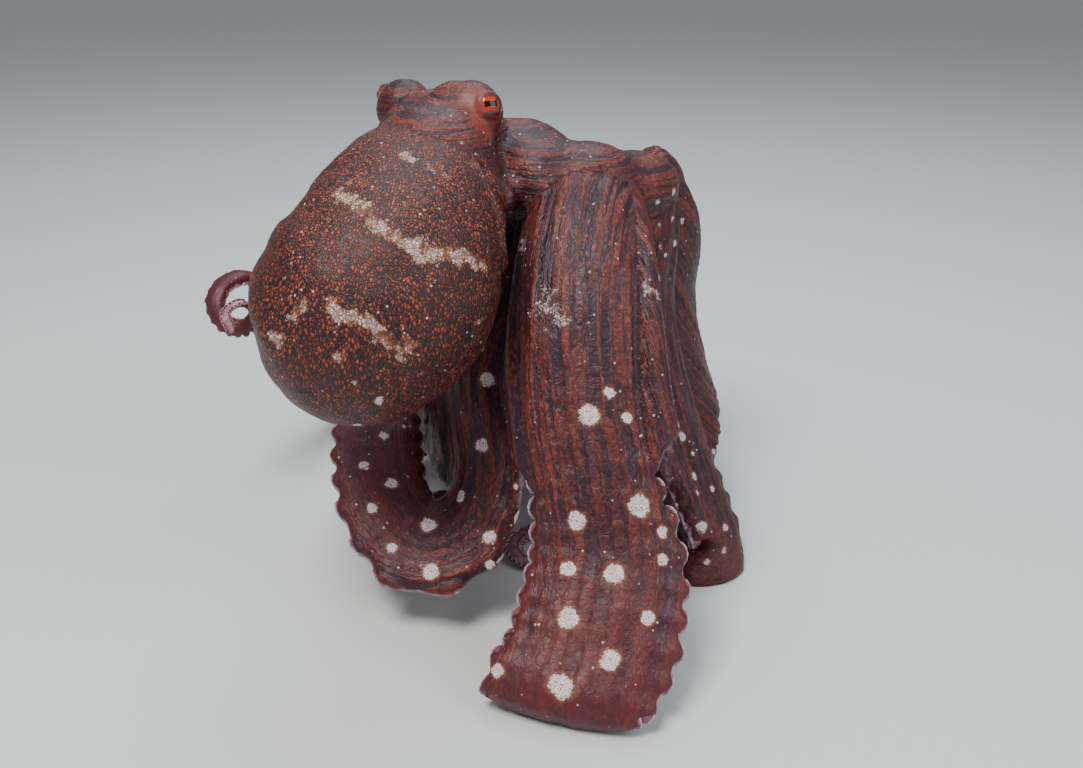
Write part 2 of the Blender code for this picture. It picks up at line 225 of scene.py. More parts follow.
# The skin: mantle, head, funnel, eight arms and the web between them are one soft body, so their forms are
# fused into one surface, which is then drawn smooth, wrinkled and coloured. Under the arms it stops short
# of the solids by the depth of the suckers. MANTLE and FUNNEL hold x, y, z and half-widths in centimetres.
CM = 0.01
CROWN = Vector((0.026, 0.038, 0.194))
CROWN_HALVES = (0.043, 0.038, 0.021)
HEAD = Vector((-0.050, 0.018, 0.222))
HEAD_HALVES = (0.034, 0.036, 0.028)
NECK_HALVES = (0.036, 0.030, 0.026)
EYE_BUMP_RADIUS = 0.0150
EYE_BUMPS = {"right": Vector((-0.033, -0.004, 0.2425)), "left": Vector((-0.071, 0.037, 0.2375))}
HEAD_TURN = math.radians(-45)
FUNNEL = ((-2.4, 1.4, 21.0, 1.0), (-2.2, -0.4, 20.4, 1.0), (-2.0, -2.2, 20.4, 0.8), (-1.9, -3.4, 20.8, 0.65))
FUNNEL_BORE = 0.62
MANTLE = (
    (-5.4, 0.2, 21.8, 3.4, 2.3), (-5.9, -3.4, 20.7, 4.3, 3.2), (-6.4, -5.2, 19.4, 4.8, 4.0),
    (-7.2, -6.8, 17.6, 5.3, 4.5), (-8.6, -7.6, 16.2, 5.1, 4.4), (-10.0, -8.0, 15.2, 4.5, 3.7),
    (-11.1, -8.2, 14.4, 3.3, 2.7), (-11.9, -8.3, 13.9, 1.4, 1.2),
)
FILLINGS = (
    (Vector((-0.052, -0.012, 0.2230)), (0.033, 0.029, 0.025)),
    (Vector((-0.042, -0.002, 0.2420)), (0.014, 0.015, 0.0150)),
    (Vector((-0.004, 0.010, 0.2090)), (0.030, 0.024, 0.021)),
    (Vector((0.024, 0.008, 0.2050)), (0.026, 0.024, 0.022)),
    (Vector((0.046, 0.022, 0.2010)), (0.026, 0.028, 0.018)),
)
# Round these places the skin is eased: the place, and how far the easing reaches
EASED = ((Vector((0.030, 0.012, 0.195)), 0.062), (Vector((-0.050, -0.010, 0.222)), 0.040))
EASE_ROUNDS = 30
EASE_SHARE = 0.8
MANTLE_BACK = Vector((0.0, -0.91, 0.41))

# Each arm's route from the crown: x, y, z and the half-widths of its two sides, all in
# centimetres. curl is the length of the curled tip, its turns, the way it turns and the axis it turns about.
ARMS = {
    "right_1": {
        "route": (
            (5.6, 5.2, 20.4, 0.9, 1.1), (6.4, 6.2, 19.6, 1.0, 1.6), (6.9, 7.3, 17.2, 1.1, 1.8),
            (6.3, 8.9, 13.8, 1.2, 1.7), (6.0, 10.6, 9.4, 1.2, 1.6), (6.6, 13.2, 3.4, 1.5, 1.5),
            (8.0, 16.4, 1.2, 1.5, 1.5), (9.0, 20.8, 1.0, 1.3, 1.3), (8.6, 25.2, 0.8, 1.1, 1.1),
            (7.0, 29.0, 0.7, 0.9, 0.9),
        ),
        "curl": (13, 1.0, -1),
    },
    "right_2": {
        "route": (
            (5.4, 2.5, 20.2, 1.15, 1.15), (5.9, 1.9, 18.2, 1.5, 1.6), (5.6, 1.2, 14.0, 2.0, 1.9),
            (6.4, 0.4, 9.8, 2.1, 1.9), (7.6, -0.6, 6.4, 2.0, 2.0), (8.8, -1.8, 3.6, 2.0, 2.1),
            (9.6, -2.9, 1.6, 1.9, 1.9), (9.0, -3.6, 1.0, 1.7, 1.2), (7.8, -2.6, 0.9, 1.4, 1.0),
            (7.4, 1.0, 0.9, 1.1, 1.1), (8.0, 5.6, 0.8, 1.0, 1.0), (8.4, 9.8, 0.7, 0.9, 0.9),
        ),
        "curl": (12, 0.9, 1),
    },
    "right_3": {
        "route": (
            (3.0, 0.6, 20.8, 1.15, 1.15), (2.2, -2.2, 19.8, 2.4, 2.5), (1.5, -5.2, 16.4, 3.3, 2.4),
            (1.6, -7.6, 12.3, 3.3, 2.6), (2.2, -9.4, 9.1, 3.1, 2.8), (2.6, -11.0, 6.3, 3.9, 3.1),
            (2.3, -12.8, 4.2, 4.2, 3.4), (1.8, -14.2, 2.6, 4.0, 3.6), (1.3, -15.2, 1.5, 3.4, 4.0),
            (1.2, -15.3, 0.8, 3.1, 3.9), (1.6, -14.0, 0.6, 2.6, 2.8), (2.4, -11.0, 0.7, 1.5, 1.5),
            (3.4, -7.6, 0.8, 1.2, 1.2), (4.2, -4.2, 0.7, 1.1, 1.1), (3.0, -1.4, 0.6, 0.9, 0.9),
        ),
        "curl": (10, 0.8, 1),
        "rolled_from": 0.20,
    },
    "right_4": {
        "route": (
            (0.2, 1.1, 19.2, 1.1, 1.1), (-1.6, -0.2, 16.8, 1.5, 1.6), (-3.2, -2.2, 11.8, 1.8, 1.9),
            (-3.1, -3.6, 9.2, 2.0, 1.9), (-2.9, -4.8, 7.0, 2.3, 1.9), (-3.7, -5.8, 4.9, 3.1, 1.9),
            (-5.6, -6.1, 4.1, 3.6, 1.8), (-7.4, -5.2, 5.1, 3.0, 1.9), (-8.3, -3.4, 6.6, 2.6, 2.1),
            (-8.7, -1.2, 7.9, 2.4, 2.2), (-9.2, 1.4, 8.3, 2.2, 1.9), (-9.5, 4.2, 7.6, 1.6, 1.6),
            (-9.4, 6.6, 5.4, 1.4, 1.4), (-8.6, 8.4, 2.6, 1.3, 1.3), (-6.8, 8.8, 1.1, 1.2, 1.2),
            (-4.4, 7.4, 0.8, 1.1, 1.1),
        ),
        "curl": (12, 0.8, -1),
    },
    "left_4": {
        "route": (
            (-0.7, 3.3, 19.0, 0.9, 0.9), (-2.3, 5.2, 15.8, 1.1, 1.1), (-4.6, 8.4, 10.4, 1.2, 1.2),
            (-6.4, 11.6, 5.2, 1.3, 1.3), (-8.0, 14.6, 2.0, 1.4, 1.4), (-10.4, 16.4, 1.2, 1.3, 1.3),
            (-13.0, 15.4, 1.8, 1.2, 1.2), (-15.0, 12.6, 4.6, 1.0, 1.0), (-15.9, 9.6, 8.4, 0.9, 0.9),
            (-16.3, 7.4, 12.6, 0.8, 0.8),
        ),
        "curl": (12, 1.5, 1, (0.3, -0.9, 0.1)),
    },
    "left_3": {
        "route": (
            (-0.3, 6.0, 19.2, 0.9, 0.9), (-1.3, 8.4, 16.2, 1.0, 1.0), (-2.3, 11.4, 11.0, 1.15, 1.15),
            (-3.4, 14.8, 5.6, 1.3, 1.3), (-4.8, 18.2, 1.8, 1.4, 1.4), (-7.2, 22.2, 1.0, 1.4, 1.4),
            (-10.6, 25.4, 0.9, 1.2, 1.2), (-14.6, 27.4, 0.8, 1.0, 1.0), (-18.6, 28.0, 0.7, 0.8, 0.8),
        ),
        "curl": (13, 1.1, -1),
    },
    "left_2": {
        "route": (
            (1.7, 7.4, 19.6, 0.9, 0.9), (1.4, 9.9, 16.6, 0.9, 0.9), (0.6, 13.0, 11.2, 1.05, 1.05),
            (-0.2, 16.4, 5.6, 1.2, 1.2), (-1.0, 20.2, 1.8, 1.3, 1.3), (-2.2, 24.6, 1.0, 1.4, 1.4),
            (-4.4, 28.8, 0.9, 1.2, 1.2), (-7.6, 32.0, 0.8, 1.0, 1.0), (-11.4, 33.6, 0.7, 0.8, 0.8),
        ),
        "curl": (13, 1.0, 1),
    },
    "left_1": {
        "route": (
            (4.0, 7.1, 20.0, 0.9, 0.9), (4.5, 9.7, 17.0, 0.9, 0.9), (3.9, 13.2, 11.6, 1.0, 1.0),
            (3.7, 16.8, 5.8, 1.15, 1.15), (3.5, 20.4, 1.8, 1.3, 1.3), (3.2, 24.8, 1.0, 1.4, 1.4),
            (2.6, 29.4, 0.9, 1.2, 1.2), (1.6, 33.6, 0.8, 1.0, 1.0), (1.4, 37.4, 0.7, 0.8, 0.8),
        ),
        "curl": (12, 1.0, -1),
    },
}
AROUND = ("right_1", "right_2", "right_3", "right_4", "left_4", "left_3", "left_2", "left_1")
DORSAL_HEIGHT = 0.013
ORAL_DEPTH = 0.010
SUCKER_DEPTH = 0.0022
SUCKER_RADIUS = 0.0066
SUCKERS_FROM = 0.045
SCALLOP = 0.0024
SCALLOPS_FROM = 0.13
TIP_SHARE = 0.12
HUB_BELOW = 0.10
LEVEL_BELOW = 0.03
LEVELLING = 0.12
LIES_BELOW = 0.013
LYING_UP = 0.5
SETTLES_OVER = 0.3
FLATTENED = 0.96
PRESSED = 0.0003
WEB_LENGTH = 0.165
WEB_FROM = 0.006
WEB_RECESS = 0.14
WEB_EASE = 0.3
WEB_THICKNESS = 0.0045
WEB_BULGE = {"right_1": 0.008, "right_2": 0.015, "right_3": 0.0, "right_4": 0.0}
WEB_BULGE_REAR = 0.002
WEB_BULGE_FROM = 0.055
WEB_SIDE = 0.93
ARM_STEP = 0.0025
ARM_SIDES = 32
GRAIN = 0.0015
SOFTENING_ROUNDS = 6


def between(p0, p1, p2, p3, t):
    """The Catmull-Rom curve between p1 and p2."""
    return 0.5 * (
        2 * p1 + (p2 - p0) * t + (2 * p0 - 5 * p1 + 4 * p2 - p3) * t * t + (3 * p1 - p0 - 3 * p2 + p3) * t**3
    )


class Path:
    """A smooth curve through rows of x, y, z and any sizes that go with each place."""

    STEPS = 12

    def __init__(self, rows):
        rows = [[Vector(row[:3]), *row[3:]] for row in rows]
        ends = [
            [2 * a - b for a, b in zip(rows[0], rows[1])], *rows,
            [2 * a - b for a, b in zip(rows[-1], rows[-2])],
        ]
        self.rows = [
            [between(*four, k / self.STEPS) for four in zip(*ends[i : i + 4])]
            for i in range(len(rows) - 1) for k in range(self.STEPS)
        ] + [rows[-1]]
        self.lengths = [0.0]
        for a, b in zip(self.rows, self.rows[1:]):
            self.lengths.append(self.lengths[-1] + (b[0] - a[0]).length)
        self.length = self.lengths[-1]
        last = len(self.rows) - 1
        for i, row in enumerate(self.rows):
            before, after = self.rows[max(i - 1, 0)], self.rows[min(i + 1, last)]
            row.insert(1, (after[0] - before[0]).normalized())

    def at(self, s):
        """The place, the direction and the sizes at length s."""
        s = min(max(s, 0.0), self.length)
        i = next(k for k in range(1, len(self.lengths)) if s <= self.lengths[k] + 1e-9)
        t = (s - self.lengths[i - 1]) / (self.lengths[i] - self.lengths[i - 1])
        return [a + (b - a) * t for a, b in zip(self.rows[i - 1], self.rows[i])]


CURL_STEP = 1.2
CURL_LOOSE = 0.4
CURL_THIN = 0.35


def curled(route, length, turns, way, axis=(0, 0, 1)):
    """The route in metres, with a thinning tip that bends ever more tightly about the axis."""
    rows = [[CM * n for n in row] for row in route]
    start, before = Vector(rows[-1][:3]), Vector(rows[-2][:3])
    heading = (start - before).normalized()
    widths = rows[-1][3:]
    steps = round(length / CURL_STEP)
    for k in range(steps):
        tighter = CURL_LOOSE + 2 * (1 - CURL_LOOSE) * (k + 0.5) / steps
        heading = Quaternion(axis, way * 2 * math.pi * turns * tighter / steps) @ heading
        start = start + heading * (CM * length / steps)
        thin = 1 - (1 - CURL_THIN) * (k + 1) / steps
        rows.append([*start, *(w * thin for w in widths)])
    return rows


class Arm(Path):
    """An arm's middle line, with its dorsal direction and its size at any length from the crown."""

    def __init__(self, route, curl, rolled_from=1.0):
        super().__init__(curled(route, *curl))
        up = self.rows[0][0] - (CROWN - Vector((0, 0, HUB_BELOW)))
        for row, s in zip(self.rows, self.lengths):
            if s < rolled_from:
                up = up + Vector((0, 0, LEVELLING * max(0.0, 1 - row[0].z / LEVEL_BELOW)))
            up = (up - up.dot(row[1]) * row[1]).normalized()
            row.append(up)
            if up.z > LYING_UP:
                lying = min(1.0, max(0.0, (LIES_BELOW - row[0].z) / (SETTLES_OVER * LIES_BELOW)))
                row[0].z += lying * (FLATTENED * ORAL_DEPTH * self.taper(s) - PRESSED - row[0].z)
            row[0] = row[0] + STANCE
        # The suckers touch one another along the arm: they grow at first, and shrink to the tip
        self.suckers = []
        s = SUCKERS_FROM
        while s < self.length - 0.002:
            _, _, low, high, _ = self.at(s)
            grown = min(1.0, 0.35 + s / 0.20) * (1 - 0.9 * (s / self.length) ** 2.5)
            self.suckers.append((s, min(SUCKER_RADIUS * grown, 0.52 * min(low, high))))
            s += 2.0 * self.suckers[-1][1]

    def taper(self, s):
        return 1 - (1 - TIP_SHARE) * (s / self.length) ** 1.1

    def frame_at(self, s):
        """Where the arm's middle is, its three directions and the half-widths of its two sides."""
        centre, along, low, high, dorsal = self.at(s)
        along.normalize()
        dorsal = (dorsal - dorsal.dot(along) * along).normalized()
        return centre, along, dorsal, along.cross(dorsal), low, high

    def ring(self, s):
        """The outline of the arm: round above, flatter below, with how far across each point is."""
        centre, along, dorsal, lateral, low, high = self.frame_at(s)
        taper = self.taper(s)
        nearest, radius = min(self.suckers, key=lambda sucker: abs(sucker[0] - s))
        scallop = SCALLOP * radius / SUCKER_RADIUS * math.cos(math.pi * min(1.0, abs(s - nearest) / radius))
        scallop *= min(1.0, max(0.0, (s - SCALLOPS_FROM) / 0.04))
        low, high = low + scallop, high + scallop
        points = []
        for k in range(ARM_SIDES):
            angle = 2 * math.pi * (k + 0.5) / ARM_SIDES
            x, y = math.cos(angle), math.sin(angle)
            across = x * (high if x > 0 else low)
            if y > 0:
                height = DORSAL_HEIGHT * taper * y
            else:
                height = -(ORAL_DEPTH - SUCKER_DEPTH) * taper * abs(y) ** 0.6
            points.append((centre + lateral * across + dorsal * height, across, x, y))
        return points

    def side(self, s, hand):
        """The middle of one side, its upward direction and the way out of it."""
        centre, along, dorsal, lateral, low, high = self.frame_at(s)
        way = lateral * hand
        return centre + way * ((high if hand > 0 else low) * WEB_SIDE), dorsal, way


def skin_of(bm, rows, closed):
    """Quads through rows of points, whose ends are capped where the rows are rings."""
    loops = [[bm.verts.new(p) for p in row] for row in rows]
    count = len(loops[0])
    for a, b in zip(loops, loops[1:]):
        for k in range(count if closed else count - 1):
            bm.faces.new((a[k], a[(k + 1) % count], b[(k + 1) % count], b[k]))
    if closed:
        bm.faces.new(loops[0])
        bm.faces.new(loops[-1])
    return loops


BALL_SEGMENTS = 48


def ellipsoid(bm, centre, halves, turn=0.0):
    """A ball with three half-widths, turned about the upright."""
    made = bmesh.ops.create_uvsphere(bm, u_segments=BALL_SEGMENTS, v_segments=BALL_SEGMENTS // 2, radius=1.0)
    placed = Matrix.Translation(centre + STANCE) @ Matrix.Rotation(turn, 4, "Z")
    bmesh.ops.transform(bm, matrix=placed @ Matrix.Diagonal((*halves, 1.0)), verts=made["verts"])


# Each mark is a place on the forms and what the skin is like there: its form, how far it is along and
# across, 1 on the lower side, how near an arm's margin, and which arm or web it belongs to
MANTLE_FORM, ARM_FORM, WEB_FORM, HEAD_FORM = range(4)
marks = []
body = bmesh.new()

arms = {name: Arm(**facts) for name, facts in ARMS.items()}
for order, (name, arm) in enumerate(arms.items()):
    steps = round(arm.length / ARM_STEP)
    rings = [arm.ring(arm.length * k / steps) for k in range(steps + 1)]
    skin_of(body, [[p for p, *_ in ring] for ring in rings], True)
    for k, ring in enumerate(rings):
        for p, across, x, y in ring:
            lower = 1.0 if y < -0.2 else 0.0
            marks.append((p, (ARM_FORM, arm.length * k / steps, across, lower, abs(x), order)))

WEB_STEPS, WEB_SPANS = 56, 28
for order, name in enumerate(AROUND):
    other = AROUND[(order + 1) % len(AROUND)]
    bulge = WEB_BULGE.get(name, WEB_BULGE_REAR)
    walls = {1: [], -1: []}
    middle, ups, facts = [], [], []
    for j in range(WEB_STEPS + 1):
        middle.append([])
        facts.append([])
        for k in range(WEB_SPANS + 1):
            t = k / WEB_SPANS
            bow = 4 * t * (1 - t)
            s = WEB_FROM + (WEB_LENGTH - WEB_FROM) * (j / WEB_STEPS) * (1 - WEB_RECESS * bow)
            (a, a_up, a_out), (b, b_up, b_out) = arms[name].side(s, 1), arms[other].side(s, -1)
            reach = WEB_EASE * (b - a).length
            c, d = a + a_out * reach, b + b_out * reach
            p = a * (1 - t) ** 3 + c * (3 * t * (1 - t) ** 2) + d * (3 * t * t * (1 - t)) + b * t**3
            p = p + a_up.lerp(b_up, t) * (bow * bulge * min(1.0, s / WEB_BULGE_FROM))
            middle[-1].append(p)
            facts[-1].append((s, arms[name].at(s)[3] + t * (b - a).length))
            if k in (0, WEB_SPANS):
                ups.append(a_up if k == 0 else b_up)
    for j, line in enumerate(middle):
        for wall in walls.values():
            wall.append([])
        for k, p in enumerate(line):
            if k in (0, WEB_SPANS):
                up = ups[2 * j + k // WEB_SPANS]
            else:
                down = middle[min(j + 1, WEB_STEPS)][k] - middle[max(j - 1, 0)][k]
                up = (line[k + 1] - line[k - 1]).cross(down).normalized()
            for way, wall in walls.items():
                q = p + up * (way * WEB_THICKNESS / 2)
                wall[-1].append(q)
                s, across = facts[j][k]
                marks.append((q, (WEB_FORM, s, across, 0.0 if way > 0 else 1.0, 0.0, order)))
    top = skin_of(body, walls[1], False)
    low = skin_of(body, walls[-1], False)
    borders = [[row[k] for row in sheet] for sheet in (top, low) for k in (0, -1)]
    sides = ((borders[0], borders[2]), (borders[1], borders[3]))
    for first, second in (*sides, (top[0], low[0]), (top[-1], low[-1])):
        for k in range(len(first) - 1):
            body.faces.new((first[k], first[k + 1], second[k + 1], second[k]))

ellipsoid(body, HEAD, HEAD_HALVES, HEAD_TURN)
for bump in EYE_BUMPS.values():
    ellipsoid(body, bump, (EYE_BUMP_RADIUS,) * 3)
    ellipsoid(body, bump.lerp(HEAD, 0.45), (EYE_BUMP_RADIUS * 1.1,) * 3)
ellipsoid(body, CROWN, CROWN_HALVES)
ellipsoid(body, (HEAD + CROWN) / 2, NECK_HALVES, HEAD_TURN)
for place, halves in FILLINGS:
    ellipsoid(body, place, halves, HEAD_TURN)
body.verts.ensure_lookup_table()
for v in body.verts[len(marks):]:
    marks.append((v.co.copy(), (HEAD_FORM, v.co.x, v.co.z, 0.0, 0.0, 0)))

mantle_path = Path([[CM * n for n in row] for row in MANTLE])
MANTLE_RINGS, MANTLE_SIDES = 60, 72
rows = []
for j in range(MANTLE_RINGS + 1):
    centre, along, half, depth = mantle_path.at(mantle_path.length * j / MANTLE_RINGS)
    side = along.cross(MANTLE_BACK).normalized()
    back = side.cross(along)
    rows.append([])
    for k in range(MANTLE_SIDES):
        angle = 2 * math.pi * k / MANTLE_SIDES
        p = centre + side * (half * math.cos(angle)) + back * (depth * math.sin(angle)) + STANCE
        rows[-1].append(p)
        marks.append((p, (MANTLE_FORM, mantle_path.length * j / MANTLE_RINGS, half * angle, 0.0, 0.0, 0)))
skin_of(body, rows, True)

funnel_path = Path([[CM * n for n in row] for row in FUNNEL])
rows = []
FUNNEL_RINGS, FUNNEL_SIDES, BORE_RINGS = 16, 24, 8
stops = [(funnel_path.length * k / FUNNEL_RINGS, 1.0) for k in range(FUNNEL_RINGS + 1)]
for s, share in stops + [(s, FUNNEL_BORE) for s, _ in reversed(stops[-BORE_RINGS:])]:
    centre, along, radius = funnel_path.at(s)
    side = along.cross(Vector((0, 0, 1))).normalized()
    back = side.cross(along)
    rows.append([
        centre + STANCE + (side * math.cos(a) + back * math.sin(a)) * (radius * share)
        for a in (2 * math.pi * k / FUNNEL_SIDES for k in range(FUNNEL_SIDES))
    ])
    marks += [(p, (HEAD_FORM, p.x, p.z, 0.0, 0.0, 0)) for p in rows[-1]]
skin_of(body, rows, True)

bmesh.ops.recalc_face_normals(body, faces=body.faces)
mesh = bpy.data.meshes.new("forms")
body.to_mesh(mesh)
body.free()
forms = bpy.data.objects.new("forms", mesh)
bpy.context.scene.collection.objects.link(forms)
fuse = forms.modifiers.new("Fuse", "REMESH")
fuse.mode = "VOXEL"
fuse.voxel_size = GRAIN
soften = forms.modifiers.new("Soften", "SMOOTH")
soften.factor = 0.5
soften.iterations = SOFTENING_ROUNDS
graph = bpy.context.evaluated_depsgraph_get()
mesh = bpy.data.meshes.new_from_object(forms.evaluated_get(graph))
mesh.name = "skin"
bpy.data.objects.remove(forms)

# Where the forms meet at the crown and the neck the skin is drawn smooth
count = len(mesh.vertices)
places = np.zeros(count * 3, np.float32)
mesh.vertices.foreach_get("co", places)
places = places.reshape(-1, 3)
edges = np.zeros(len(mesh.edges) * 2, np.int32)
mesh.edges.foreach_get("vertices", edges)
edges = edges.reshape(-1, 2)
joined = np.bincount(edges.ravel(), minlength=count)[:, None]
ease = np.zeros(count)
for centre, reach in EASED:
    away = np.linalg.norm(places - np.array(centre + STANCE), axis=1)
    ease = np.maximum(ease, np.clip((reach - away) / (0.4 * reach), 0, 1))
for _ in range(EASE_ROUNDS):
    sums = [
        np.bincount(edges[:, 0], places[edges[:, 1], c], count)
        + np.bincount(edges[:, 1], places[edges[:, 0], c], count)
        for c in range(3)
    ]
    places += (np.stack(sums, axis=1) / joined - places) * (EASE_SHARE * ease)[:, None]
mesh.vertices.foreach_set("co", places.astype(np.float32).ravel())
mesh.update()

# Each vertex takes its facts from the nearest places of the forms
tree = KDTree(len(marks))
for k, (p, _) in enumerate(marks):
    tree.insert(p, k)
tree.balance()
normals = np.zeros(count * 3, np.float32)
mesh.vertices.foreach_get("normal", normals)
normals = normals.reshape(-1, 3)
facts = np.zeros((count, 6))
for i, p in enumerate(places):
    near = tree.find_n(p, 3)
    first = marks[near[0][1]][1]
    total = np.zeros(6)
    weight = 0.0
    for _, k, distance in near:
        fact = marks[k][1]
        if fact[0] == first[0] and fact[5] == first[5]:
            w = 1 / (distance + 0.0002)
            total += w * np.array(fact)
            weight += w
    facts[i] = total / weight
form, along, across, under, margin, _ = facts.T
form = np.rint(form)
arm_like = ((form == ARM_FORM) | (form == WEB_FORM)).astype(float)


def ridged(x, y, z):
    """Noise that is 1 along sharp ridges and falls below 0 between them."""
    return 1 - 2.2 * abs(noise.noise((x, y, z)))


def wrinkle(scale_along, scale_across, seed):
    """Ridges drawn out along the arms, with finer ones on them."""
    made = np.zeros(count)
    for i in range(count):
        x, y, z = along[i] * scale_along + seed, across[i] * scale_across, 3.7 * form[i] + seed
        made[i] = 0.68 * ridged(x, y, z) + 0.32 * ridged(x * 2.3, y * 2.3, z + 5.0)
    return made


def lumps(scale, seed):
    """Soft noise in place, from -1 to 1."""
    return np.array([noise.noise((x * scale + seed, y * scale, z * scale)) for x, y, z in places])


folds = 0.5 * wrinkle(9.0, 110.0, 11.0) + 0.5 * wrinkle(13.0, 250.0, 23.0)
pimples = lumps(320.0, 4.0)
swells = lumps(70.0, 9.0)
smooth_tips = np.clip((along - 0.17) / 0.12, 0, 1) * arm_like
upper = (1 - under) * (1 - smooth_tips * 0.75)
ARM_FOLDS, ARM_SWELLS = 0.0019, 0.0004
HEAD_FOLDS, HEAD_SWELLS = 0.00045, 0.0009
PIMPLES = 0.00025
rise = np.where(
    arm_like > 0,
    (ARM_FOLDS * (folds - 0.45) * upper) + ARM_SWELLS * swells * (1 - under),
    HEAD_FOLDS * (folds - 0.45) * (form == HEAD_FORM) + HEAD_SWELLS * swells,
) + PIMPLES * pimples * (1 - under)
places += normals * rise[:, None].astype(np.float32)

def ray_through(x, y):
    """The direction in which the camera sees a point of its picture."""
    seen = Vector(((x - VIEW_WIDTH / 2) / VIEW_FOCUS, (VIEW_HEIGHT / 2 - y) / VIEW_FOCUS, -1))
    return (Matrix.Rotation(CAMERA_TILT, 3, "X") @ seen).normalized()


def away_from(stops):
    """How far each vertex is from the line through some places."""
    away = np.full(count, 1.0)
    for a, b in zip(stops, stops[1:]):
        a, b = np.array(a), np.array(b)
        t = np.clip((places - a) @ (b - a) / ((b - a) @ (b - a)), 0, 1)
        away = np.minimum(away, np.linalg.norm(places - (a + t[:, None] * (b - a)), axis=1))
    return away


# The mantle's free lip: a thin raised edge with a groove beside it, through points of the camera's picture
LIP = ((476, 168), (486, 186), (495, 206), (500, 226), (502, 246), (503, 266))
LIP_HEIGHT, LIP_WIDTH, GROOVE_SHIFT = 0.0022, 0.0022, 9
before_lip = BVHTree.FromPolygons([tuple(p) for p in places], [tuple(f.vertices) for f in mesh.polygons])
for shift, height in ((0, LIP_HEIGHT), (GROOVE_SHIFT, -LIP_HEIGHT)):
    stops = [before_lip.ray_cast(CAMERA_PLACE, ray_through(x + shift, y))[0] for x, y in LIP]
    places += normals * (height * np.exp(-((away_from(stops) / LIP_WIDTH) ** 2)))[:, None].astype(np.float32)

# The lids: the skin draws back over each eye's ball and stands up round it in a thick rim
EYE_RADIUS = 0.0080
EYES = {"right": Vector((-0.0265, -0.0105, 0.2460)), "left": Vector((-0.0775, 0.0435, 0.2415))}
EYE_FACES = {"right": Vector((0.38, -0.86, 0.34)), "left": Vector((-0.70, 0.66, 0.28))}
LID_OPEN, LID_RIM, LID_END = math.radians(28), math.radians(38), math.radians(80)
LID_STOPS = (0, LID_OPEN * 0.9, LID_OPEN * 1.03, LID_RIM, LID_END)
LID_RISES = (-0.0022, -0.0018, 0.0004, 0.0011, 0.0)
LID_REACH = 2.2 * EYE_RADIUS
SKIN_CLEAR = 0.0004
for side, centre in EYES.items():
    centre = np.array(centre + STANCE)
    axis = np.array(EYE_FACES[side].normalized())
    offset = places - centre
    distance = np.linalg.norm(offset, axis=1)
    angle = np.arccos(np.clip(offset @ axis / distance, -1, 1))
    close = (distance < LID_REACH) & (angle < LID_END)
    lid = EYE_RADIUS + np.interp(angle, LID_STOPS, LID_RISES)
    share = np.interp(angle, [0, LID_RIM, LID_END], [1.0, 1.0, 0.0])
    new = distance * (1 - share) + lid * share
    moved = centre + offset / distance[:, None] * new[:, None]
    places = np.where(close[:, None], moved, places).astype(np.float32)

places[:, 2] = np.maximum(places[:, 2], SKIN_CLEAR)
mesh.vertices.foreach_set("co", places.ravel())
mesh.update()
seen_skin = BVHTree.FromPolygons([tuple(p) for p in places], [tuple(f.vertices) for f in mesh.polygons])


def on_skin(x, y):
    """The place on the skin that shows at a point of the camera's picture."""
    return seen_skin.ray_cast(CAMERA_PLACE, ray_through(x, y))[0]


# White marks: round spots on the arms and web, broken lines and patches, most of them on the mantle. Those
# in view are x, y and a radius in the camera's picture, where PIXEL is the size of a point at the animal's
# distance. The spots out of view stand in two rows along the arms.
SPOTS_SEEN = (
    (674, 192, 4), (658, 202, 4), (673, 219, 4), (682, 221, 4), (659, 226, 3), (675, 243, 4),
    (661, 247, 4), (666, 255, 3), (596, 153, 3), (588, 415, 11), (609, 393, 6), (627, 418, 6),
    (482, 445, 8), (487, 379, 8), (460, 496, 7), (428, 525, 9), (431, 571, 9), (392, 548, 6),
    (489, 537, 8), (490, 565, 6), (372, 508, 6), (392, 483, 7), (364, 466, 6), (384, 435, 6),
    (358, 425, 5), (380, 401, 5), (413, 452, 3), (404, 427, 3), (436, 488, 5), (423, 476, 3),
    (577, 521, 9), (639, 506, 11), (568, 569, 8), (614, 574, 10), (663, 532, 6), (663, 559, 6),
    (568, 618, 10), (648, 618, 7), (561, 687, 12), (610, 660, 10), (497, 670, 7), (516, 486, 4),
    (683, 437, 5), (693, 454, 3), (695, 476, 5), (712, 489, 4), (697, 493, 3), (702, 527, 7),
    (725, 528, 5), (724, 550, 4), (707, 562, 4), (713, 452, 4), (671, 385, 4), (245, 265, 3),
    (236, 261, 2),
)
BROKEN_PATCHES = (
    (547, 303, 11), (525, 245, 6), (648, 290, 5), (658, 296, 4), (560, 320, 5),
    (406, 157, 7), (355, 179, 7), (429, 169, 5), (444, 174, 6), (299, 308, 8), (278, 340, 8), (337, 357, 5),
    (357, 385, 4), (417, 372, 4), (478, 323, 5), (330, 305, 6), (400, 348, 8), (418, 250, 8), (440, 255, 6),
    (380, 228, 6), (487, 267, 5),
)
MANTLE_LINES = (
    (
        (337, 194), (357, 205), (382, 230), (395, 236), (409, 245), (417, 252), (426, 253), (451, 252),
        (471, 259), (487, 267),
    ),
    ((330, 310), (346, 312), (357, 319), (371, 325), (386, 339), (397, 346), (415, 346)),
)
BARE_SEEN = ((489, 128, 11), (480, 124, 9), (471, 97, 9), (481, 97, 8), (478, 110, 8))
PIXEL = 0.00049
SPOT_SHARE, PATCH_SHARE = 0.92, 0.85
FAR = 4.0
spots = []
for x, y, radius in SPOTS_SEEN:
    p = on_skin(x, y)
    if p is not None:
        spots.append((p, radius * PIXEL * SPOT_SHARE))
chance = random.Random(5)
